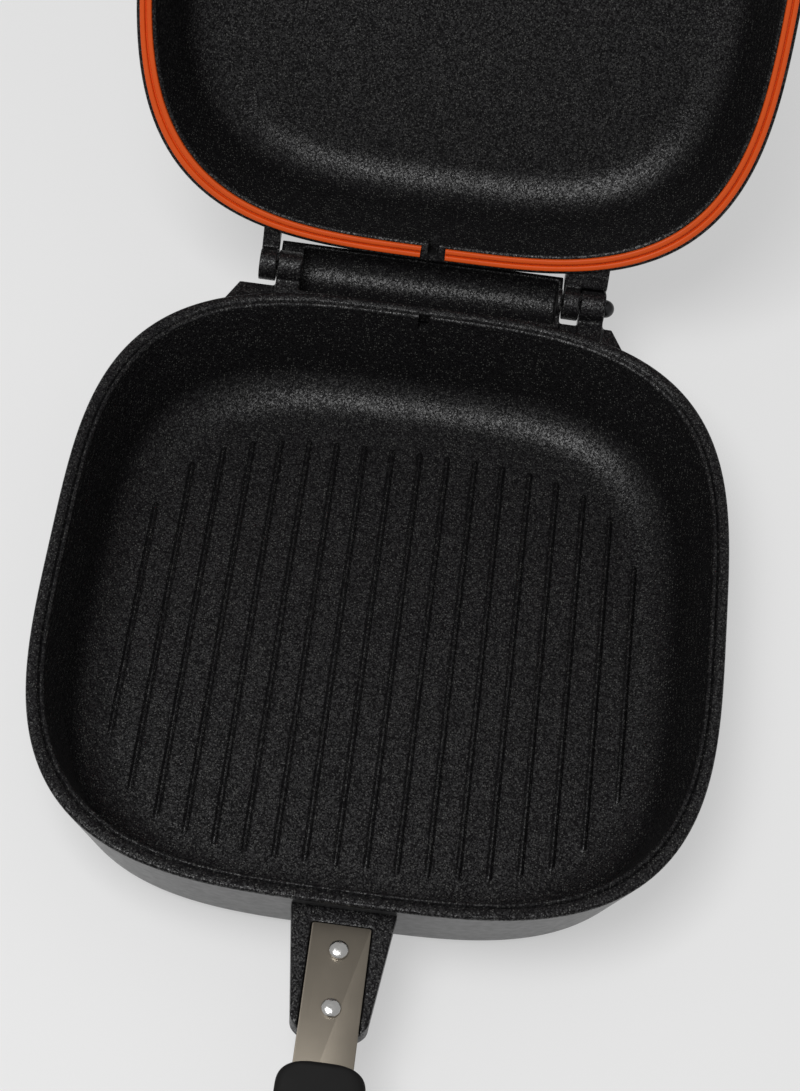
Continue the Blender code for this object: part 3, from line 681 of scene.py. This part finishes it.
def seal():
    """The silicone strip, with two round-edged beads and a valley between them."""
    foot_z = RIM_Z - SEAL_GROOVE_DEPTH + CLEARANCE
    top_z = RIM_GAP / 2 - CLEARANCE
    middle = SEAL_INSET + SEAL_WIDTH / 2
    near, far = SEAL_INSET, middle - SEAL_VALLEY_WIDTH / 2
    bead_z = top_z - SEAL_BEAD_ROUND
    bead = arc((near + SEAL_BEAD_ROUND, bead_z), SEAL_BEAD_ROUND, math.pi, math.pi / 2, CORNER_STEPS)
    bead += arc((far - SEAL_BEAD_ROUND, bead_z), SEAL_BEAD_ROUND, math.pi / 2, 0, CORNER_STEPS)
    bead.append((far + SEAL_VALLEY_WIDTH / 4, top_z - SEAL_VALLEY_DEPTH))
    mirrored = [(2 * middle - inset, z) for inset, z in reversed(bead)]
    outline = [(SEAL_INSET, foot_z), *bead, *mirrored, (SEAL_INSET + SEAL_WIDTH, foot_z)]
    strip = make_object("silicone_seal", loft(seal_sections(outline, 0)), [SILICONE])
    return place_piece(strip, "upper", "silicone", "seal", sharp=50)


def upper_shell():
    rim = {"width": UPPER_RIM_WIDTH, "edge": UPPER_RIM_EDGE, "inner_edge": UPPER_RIM_INNER_EDGE, "top": []}
    body = (UPPER_HEIGHT, UPPER_FLOOR, UPPER_OUTER_DRAFT, UPPER_BASE_FILLET)
    shell = pan_shell("upper_shell", *body, rim)
    low, high = RIM_Z - SEAL_GROOVE_DEPTH, RIM_Z + OVERRUN
    near, far = SEAL_INSET - CLEARANCE / 2, SEAL_INSET + SEAL_WIDTH + CLEARANCE / 2
    groove = loft(seal_sections([(near, low), (near, high), (far, high), (far, low)], CLEARANCE))
    combine(shell, "DIFFERENCE", [groove, drain_notch(UPPER_RIM_WIDTH, -UPPER_NOTCH_SKIN)])
    return place_piece(shell, "upper", "coated_aluminium", "upper_pan", sharp=50)


# Cast hinge pieces


def cast(name, solids, half, cuts=()):
    """Joins solids and softens their edges and corners as in a coated casting, then cuts crisp holes."""
    whole = bmesh.new()
    spare = bpy.data.meshes.new(name)
    for solid in solids:
        bmesh.ops.recalc_face_normals(solid, faces=solid.faces)
        solid.to_mesh(spare)
        solid.free()
        whole.from_mesh(spare)
    bpy.data.meshes.remove(spare)
    obj = make_object(name, whole, [])
    remesh = obj.modifiers.new("remesh", "REMESH")
    remesh.mode = "VOXEL"
    remesh.voxel_size = CAST_VOXEL
    smooth = obj.modifiers.new("smooth", "SMOOTH")
    smooth.factor = CAST_SMOOTHING_SHARE
    smooth.iterations = CAST_ROUNDS
    thin = obj.modifiers.new("thin", "DECIMATE")
    thin.ratio = CAST_FACE_SHARE
    apply_modifiers(obj)
    if cuts:
        combine(obj, "DIFFERENCE", cuts)
    obj.data.materials.clear()
    obj.data.materials.append(COAT)
    return place_piece(obj, half, "coated_aluminium", sharp=50)


def from_hinge(radius, angle):
    """A (y, z) point at a radius and an angle about the hinge axis, measured down from +Y."""
    return HINGE_Y + radius * math.cos(angle), -radius * math.sin(angle)


def knuckle_spans(lower):
    spans = []
    for split in (-KNUCKLE_SPLIT, KNUCKLE_SPLIT):
        if lower:
            start = split + KNUCKLE_GAP / 2
            spans.append((start, start + LOWER_KNUCKLE_LENGTH))
        else:
            end = split - KNUCKLE_GAP / 2
            spans.append((end - UPPER_KNUCKLE_LENGTH, end))
    return spans


def knuckle(span):
    return cylinder(KNUCKLE_RADIUS, (span[0], HINGE_Y, 0), (span[1], HINGE_Y, 0))


def knuckle_bore(span):
    return cylinder(PIN_RADIUS + CLEARANCE, (span[0] - OVERRUN, HINGE_Y, 0), (span[1] + OVERRUN, HINGE_Y, 0))


def web_root(span):
    x = max(abs(span[0]), abs(span[1]))
    upper = (back_wall_y(x, WEB_TOP_DROP) - WEB_BITE, WEB_TOP_Z)
    return [upper, (back_wall_y(x, WEB_DROP) - WEB_BITE, RIM_Z - WEB_DROP)]


def web(span):
    corner = from_hinge(KNUCKLE_RADIUS, WEB_CORNER_ANGLE)
    return prism_x([*web_root(span), corner, (HINGE_Y, WEB_TOP_Z)], *span)


def stop_web(span, angle, foot):
    start = from_hinge(-WEB_TOP_Z / math.sin(angle), angle)
    return prism_x([*web_root(span), *foot, from_hinge(STOP_REACH, angle), start], *span)


def shelf(side):
    inner = KNUCKLE_SPLIT - LOWER_KNUCKLE_LENGTH
    outer = KNUCKLE_SPLIT + UPPER_KNUCKLE_LENGTH + SHELF_REACH
    back = HINGE_Y - SHELF_SETBACK
    roots = [(side * x, back_wall_y(x, SHELF_TOP_DROP) - WEB_BITE) for x in (outer + SHELF_TAPER, inner)]
    top = RIM_Z - SHELF_TOP_DROP
    return prism_z([*roots, (side * inner, back), (side * outer, back)], top - SHELF_THICKNESS, top)


def gutter():
    """The drip gutter: a block round the hinge axis from the left knuckle on, cut to a trough."""
    beside = knuckle_spans(True)[0]
    left = beside[0] + GUTTER_END_STEP
    right = KNUCKLE_SPLIT - KNUCKLE_GAP / 2 - UPPER_KNUCKLE_LENGTH - KNUCKLE_GAP
    root_y = PAN_DEPTH / 2 - GUTTER_APRON
    outer = arc((HINGE_Y, 0), GUTTER_RADIUS + GUTTER_WALL, GUTTER_START, GUTTER_END, GUTTER_STEPS)
    block = [(root_y, WEB_TOP_Z), (root_y, RIM_Z - GUTTER_APRON_DROP), *outer, from_hinge(0, 0)]
    trough = arc((HINGE_Y, 0), GUTTER_RADIUS, TROUGH_START, GUTTER_END, GUTTER_STEPS)
    mouth_z = trough[-1][1] + OVERRUN
    mouth = [(trough[-1][0], mouth_z), (trough[0][0], mouth_z)]
    hollow = prism_x([*trough, *mouth], beside[1] - GUTTER_END_STEP, right - GUTTER_WALL)
    boss = cylinder(GUTTER_BOSS_RADIUS, (right - GUTTER_WALL, HINGE_Y, 0), (right, HINGE_Y, 0))
    return [cut_shape(prism_x(block, left, right), [hollow]), boss]


def lower_hinge():
    left, right = knuckle_spans(True)
    ledge_angle = LID_OPEN - STOP_FACE_ANGLE + STOP_GAP_ANGLE
    ledge = stop_web(right, ledge_angle, [from_hinge(STOP_FOOT, STOP_FOOT_ANGLE)])
    solids = [knuckle(left), knuckle(right), web(left), ledge, shelf(-1), shelf(1), *gutter()]
    return cast("lower_hinge_casting", solids, "lower", [knuckle_bore(left), knuckle_bore(right)])


def long_groove(span, angle):
    """A thin round cutter along a knuckle, at an angle about the hinge axis."""
    y, z = from_hinge(KNUCKLE_RADIUS, angle)
    return cylinder(KNUCKLE_GROOVE, (span[0] - OVERRUN, y, z), (span[1] + OVERRUN, y, z))


def upper_hinge():
    left, right = knuckle_spans(False)
    tab_end = knuckle_spans(True)[1][1]
    cut_start, cut_end = (right[1], HINGE_Y, 0), (tab_end + OVERRUN, HINGE_Y, 0)
    room = cylinder(KNUCKLE_RADIUS + STOP_CLEARANCE, cut_start, cut_end)
    tab = cut_shape(stop_web((right[0], tab_end), STOP_FACE_ANGLE, []), [room])
    solids = [knuckle(left), knuckle(right), web(left), tab]
    grooves = [long_groove(left, angle) for angle in KNUCKLE_GROOVE_ANGLES]
    return cast("upper_hinge_casting", solids, "upper", [knuckle_bore(left), knuckle_bore(right), *grooves])


def hinge_pins():
    """The left pin ends flush in its knuckle, the right one has a domed head."""
    pins = (("hinge_pin_left", -KNUCKLE_SPLIT, False), ("hinge_pin_right", KNUCKLE_SPLIT, True))
    for name, split, headed in pins:
        start = split - KNUCKLE_GAP / 2 - UPPER_KNUCKLE_LENGTH + PIN_SETBACK
        end = split + KNUCKLE_GAP / 2 + LOWER_KNUCKLE_LENGTH
        foot = [(0, start), (PIN_RADIUS - PIN_EDGE, start), (PIN_RADIUS, start + PIN_EDGE)]
        if headed:
            end += CLEARANCE
            flat = end + PIN_HEAD_LENGTH - PIN_HEAD_RADIUS
            dome = arc((0, flat), PIN_HEAD_RADIUS, 0, math.pi / 2, DOME_STEPS)
            head = [(PIN_HEAD_RADIUS - PIN_EDGE, end), (PIN_HEAD_RADIUS, end + PIN_EDGE), *dome[:-1]]
            profile = [*foot, (PIN_RADIUS, end), *head, (0, dome[-1][1])]
        else:
            end -= PIN_SETBACK
            profile = [*foot, (PIN_RADIUS, end - PIN_EDGE), (PIN_RADIUS - PIN_EDGE, end), (0, end)]
        place = Matrix.Translation((0, HINGE_Y, 0)) @ Matrix.Rotation(math.pi / 2, 4, "Y")
        pin = make_object(name + "_look", turned(profile, place), [PIN_STEEL])
        place_piece(pin, "lower", "pin_steel", name)


# Handles


def lug(half):
    """The tapered lug under the front rim, with the tang's pocket."""
    root_y = FRONT_Y + LUG_BITE
    end_y = FRONT_Y - LUG_LENGTH
    corner = (LUG_END_WIDTH / 2 - LUG_CORNER, end_y + LUG_CORNER)
    right = arc(corner, LUG_CORNER, 0, -math.pi / 2, FILLET_STEPS)
    left = [(-x, y) for x, y in reversed(right)]
    outline = [(LUG_ROOT_WIDTH / 2, root_y), *right, *left, (-LUG_ROOT_WIDTH / 2, root_y)]
    wide = TANG_WIDTH / 2 + CLEARANCE
    low = (-wide, end_y - OVERRUN, TANG_BOTTOM_Z - CLEARANCE)
    pocket = box(low, (wide, FRONT_Y - TANG_START + CLEARANCE, LUG_TOP_Z + OVERRUN))
    plate = cut_shape(prism_z(outline, LUG_BOTTOM_Z, LUG_TOP_Z), [pocket])
    return cast(half + "_handle_lug", [plate], half)


def tang(half):
    """The brushed strip, with rounded corners at its inner end and a broken edge all round."""
    wide = TANG_WIDTH / 2
    end_y = GRIP_Y - TANG_IN_GRIP
    start_y = FRONT_Y - TANG_START
    corner = arc((wide - TANG_CORNER, start_y - TANG_CORNER), TANG_CORNER, 0, math.pi / 2, CORNER_STEPS)
    outline = [(wide, end_y), *corner, *[(-x, y) for x, y in reversed(corner)], (-wide, end_y)]
    strip = make_object(half + "_tang_look", prism_z(outline, TANG_BOTTOM_Z, TANG_TOP_Z), [STEEL])
    bevel = strip.modifiers.new("bevel", "BEVEL")
    bevel.width = TANG_EDGE
    bevel.segments = 2
    bevel.angle_limit = math.radians(40)
    apply_modifiers(strip)
    return place_piece(strip, half, "stainless", half + "_tang")


def rivets(half):
    """Domed rivet heads on the tang, each with a flat formed tail under the lug."""
    seat = TANG_TOP_Z + CLEARANCE
    tail = LUG_BOTTOM_Z - CLEARANCE
    foot = tail - RIVET_TAIL_HEIGHT
    width_share, edge_share = RIVET_TAIL_SHARES
    for word, place in zip(("inner", "outer"), RIVET_PLACES):
        dome = []
        for i in range(DOME_STEPS + 1):
            angle = math.pi / 2 * i / DOME_STEPS
            height = RIVET_HEAD_HEIGHT * math.cos(angle) ** RIVET_DOME_POWER
            dome.append((RIVET_HEAD * math.sin(angle), seat + height))
        dome[0] = (0, dome[0][1] - RIVET_HEAD_HEIGHT * RIVET_FLAT_SHARE)
        profile = [*dome, (RIVET_HEAD, seat), (RIVET_SHANK, seat), (RIVET_SHANK, tail), (RIVET_HEAD, tail)]
        edge_z = tail - RIVET_TAIL_HEIGHT * edge_share
        profile += [(RIVET_HEAD, edge_z), (RIVET_HEAD * width_share, foot), (0, foot)]
        shape = turned(profile, Matrix.Translation((0, FRONT_Y - place, 0)))
        head = make_object(f"{half}_rivet_{word}_look", shape, [RIVET])
        place_piece(head, half, "rivet_metal", f"{half}_rivet_{word}")


def grip_section(y, share, drop):
    """A section with a flat, round-edged top and a full belly. Share narrows it and drop thins its belly."""
    wide = GRIP_WIDTH / 2 * share
    top = GRIP_TOP_ROUND * min(1, share * GRIP_TOP_TAPER)
    deep = (GRIP_THICKNESS - GRIP_TOP_ROUND) * drop
    middle_z = GRIP_TOP_Z - GRIP_TOP_ROUND
    points = []
    for i in range(GRIP_SECTION_STEPS):
        angle = 2 * math.pi * i / GRIP_SECTION_STEPS
        across, up = math.cos(angle), math.sin(angle)
        if up > 0:
            side_power, height = 2 / 7, top * up
        else:
            side_power, height = 2 / 3, -deep * abs(up) ** (2 / 3)
        x = math.copysign(wide * abs(across) ** side_power, across)
        points.append((x, y, middle_z + height))
    return points


def grip(half):
    """The moulded half grip with bulging ends, cut for tang, screws, magnet and hanging hole."""
    ends = []
    for i in range(GRIP_END_STEPS + 1):
        near = 1 - math.cos(math.pi / 2 * i / GRIP_END_STEPS)
        share = max(1 - (1 - near) ** 3, GRIP_END_LEAST_SHARE) ** (1 / 3)
        drop = max(1 - (1 - near) ** 4, GRIP_END_LEAST_SHARE) ** (1 / 4)
        ends.append((GRIP_END_RUN * near, share, drop))
    sections = [grip_section(GRIP_Y - run, share, drop) for run, share, drop in ends]
    sections += [grip_section(GRIP_Y - GRIP_LENGTH + run, share, drop) for run, share, drop in reversed(ends)]
    body = make_object(half + "_grip_look", loft(sections), [PLASTIC])
    wide = TANG_WIDTH / 2 + CLEARANCE
    slot_low = (-wide, GRIP_Y - TANG_IN_GRIP - CLEARANCE, TANG_BOTTOM_Z - CLEARANCE)
    cuts = [box(slot_low, (wide, GRIP_Y + OVERRUN, TANG_TOP_Z + CLEARANCE))]
    for place in SCREW_PLACES:
        low = (0, GRIP_Y - place, GRIP_BOTTOM_Z - OVERRUN)
        cuts.append(cylinder(SCREW_HEAD + CLEARANCE, low, (0, GRIP_Y - place, GRIP_BOTTOM_Z + SCREW_RECESS)))
    y = GRIP_Y - MAGNET_PLACE
    floor_z = GRIP_TOP_Z - MAGNET_THICKNESS - CLEARANCE
    cuts.append(cylinder(MAGNET_RADIUS + CLEARANCE, (0, y, floor_z), (0, y, GRIP_TOP_Z + OVERRUN)))
    y = GRIP_Y - HANG_HOLE_PLACE
    radius = HANG_HOLE_WIDTH / 2
    straight = HANG_HOLE_LENGTH / 2 - radius
    hole = arc((0, y + straight), radius, 0, math.pi, FILLET_STEPS)
    hole += arc((0, y - straight), radius, math.pi, 2 * math.pi, FILLET_STEPS)
    cuts.append(prism_z(hole, GRIP_BOTTOM_Z - OVERRUN, GRIP_TOP_Z + OVERRUN))
    combine(body, "DIFFERENCE", cuts)
    return place_piece(body, half, "grip_plastic", half + "_grip", sharp=40)


def grip_screws(half):
    """Cross-head screws in their recesses on the grip's outer side."""
    head_z = GRIP_BOTTOM_Z + SCREW_RECESS - CLEARANCE
    foot = head_z - SCREW_HEAD_HEIGHT
    for number, place in enumerate(SCREW_PLACES, 1):
        profile = [(0, TANG_TOP_Z), (SCREW_SHANK, TANG_TOP_Z), (SCREW_SHANK, head_z), (SCREW_HEAD, head_z)]
        profile += [(SCREW_HEAD, foot + SCREW_EDGE), (SCREW_HEAD - SCREW_EDGE, foot), (0, foot)]
        shape = turned(profile, Matrix.Translation((0, GRIP_Y - place, 0)))
        screw = make_object(f"{half}_grip_screw_{number}_look", shape, [SCREW_STEEL])
        cuts = []
        for long_x, long_y in ((SCREW_CROSS * 2, SCREW_CROSS / 2), (SCREW_CROSS / 2, SCREW_CROSS * 2)):
            low = (-long_x, GRIP_Y - place - long_y, foot - OVERRUN)
            cuts.append(box(low, (long_x, GRIP_Y - place + long_y, foot + SCREW_CROSS)))
        combine(screw, "DIFFERENCE", cuts)
        place_piece(screw, half, "stainless", f"{half}_grip_screw_{number}")


def grip_disc(half, node, slot, finish):
    """The magnet or its steel keeper, with a small broken edge."""
    low = GRIP_TOP_Z - MAGNET_THICKNESS
    profile = [(0, GRIP_TOP_Z), (MAGNET_RADIUS - MAGNET_EDGE, GRIP_TOP_Z)]
    profile += [(MAGNET_RADIUS, GRIP_TOP_Z - MAGNET_EDGE), (MAGNET_RADIUS, low), (0, low)]
    shape = turned(profile, Matrix.Translation((0, GRIP_Y - MAGNET_PLACE, 0)))
    place_piece(make_object(node + "_look", shape, [finish]), half, slot, node)


# Stage

FLOOR_LOW = (-4, -4, -0.05)
FLOOR_HIGH = (4, 6, 0)
FLOOR_LEVEL = 0.42
FLOOR_GLOW = 0.46
STUDIO_STRENGTH = 0.32
SOFTBOX_PLACE = (-0.42, -0.46, 1.72)
SOFTBOX_AIM = (0, 0.05, 0.03)
SOFTBOX_SIZE = (0.85, 0.80)
SOFTBOX_POWER = 17


def stage_material(name, level, glow):
    """A matt pale surface. Camera and mirrored rays also get an even glow, which keeps shadows light."""
    nodes = Nodes(name)
    nodes.set(Base_Color=nodes.mix(nodes.noise(0.6, 2.0), grey(level), grey(level * 1.02)))
    rays = nodes.add("ShaderNodeLightPath").outputs
    seen = nodes.math("MAXIMUM", rays["Is Camera Ray"], rays["Is Glossy Ray"])
    seen = nodes.math("MAXIMUM", seen, rays["Is Transmission Ray"])
    nodes.set(Roughness=0.9, Emission_Color=grey(1.0), Emission_Strength=nodes.math("MULTIPLY", seen, glow))
    return nodes.material


def build_stage():
    finish = stage_material("pale_floor", FLOOR_LEVEL, FLOOR_GLOW)
    make_object("floor", box(FLOOR_LOW, FLOOR_HIGH), [finish])


def softbox(name, place, aim, size, power):
    data = bpy.data.lights.new(name, "AREA")
    data.shape = "RECTANGLE"
    data.size, data.size_y = size
    data.energy = power
    lamp = bpy.data.objects.new(name, data)
    bpy.context.scene.collection.objects.link(lamp)
    lamp.location = place
    lamp.rotation_euler = (Vector(place) - Vector(aim)).to_track_quat("Z", "Y").to_euler()


def build_light():
    world = bpy.data.worlds.new("studio")
    bpy.context.scene.world = world
    world.use_nodes = True
    back = world.node_tree.nodes["Background"]
    back.inputs["Color"].default_value = (1, 1, 1, 1)
    back.inputs["Strength"].default_value = STUDIO_STRENGTH
    softbox("front_softbox", SOFTBOX_PLACE, SOFTBOX_AIM, SOFTBOX_SIZE, SOFTBOX_POWER)


# Camera

CAMERA_TARGET = Vector((0.0031, 0.0586, 0.002))
CAMERA_ELEVATION = math.radians(57)
CAMERA_ROLL = math.radians(7.6)
CAMERA_DISTANCE = 1.2485
CAMERA_LENS = 82.5


def build_camera():
    data = bpy.data.cameras.new("camera")
    data.lens = CAMERA_LENS
    camera = bpy.data.objects.new("camera", data)
    bpy.context.scene.collection.objects.link(camera)
    back = Vector((0, -math.cos(CAMERA_ELEVATION), math.sin(CAMERA_ELEVATION)))
    right = Vector((1, 0, 0))
    up = back.cross(right)
    cosine, sine = math.cos(CAMERA_ROLL), math.sin(CAMERA_ROLL)
    turned_right = right * cosine + up * sine
    turned_up = up * cosine - right * sine
    rotation = Matrix((turned_right, turned_up, back)).transposed()
    camera.matrix_world = Matrix.Translation(CAMERA_TARGET + back * CAMERA_DISTANCE) @ rotation.to_4x4()
    bpy.context.scene.camera = camera


def main():
    build_camera()
    lower_shell()
    grill_ridges()
    upper_shell()
    seal()
    lower_hinge()
    upper_hinge()
    hinge_pins()
    for half in HALVES:
        lug(half)
        tang(half)
        rivets(half)
        grip(half)
        grip_screws(half)
    grip_disc("lower", "lower_magnet", "magnet", NICKEL)
    grip_disc("upper", "upper_keeper", "stainless", SCREW_STEEL)
    build_stage()
    build_light()
    bpy.context.scene.view_settings.view_transform = "Standard"


main()
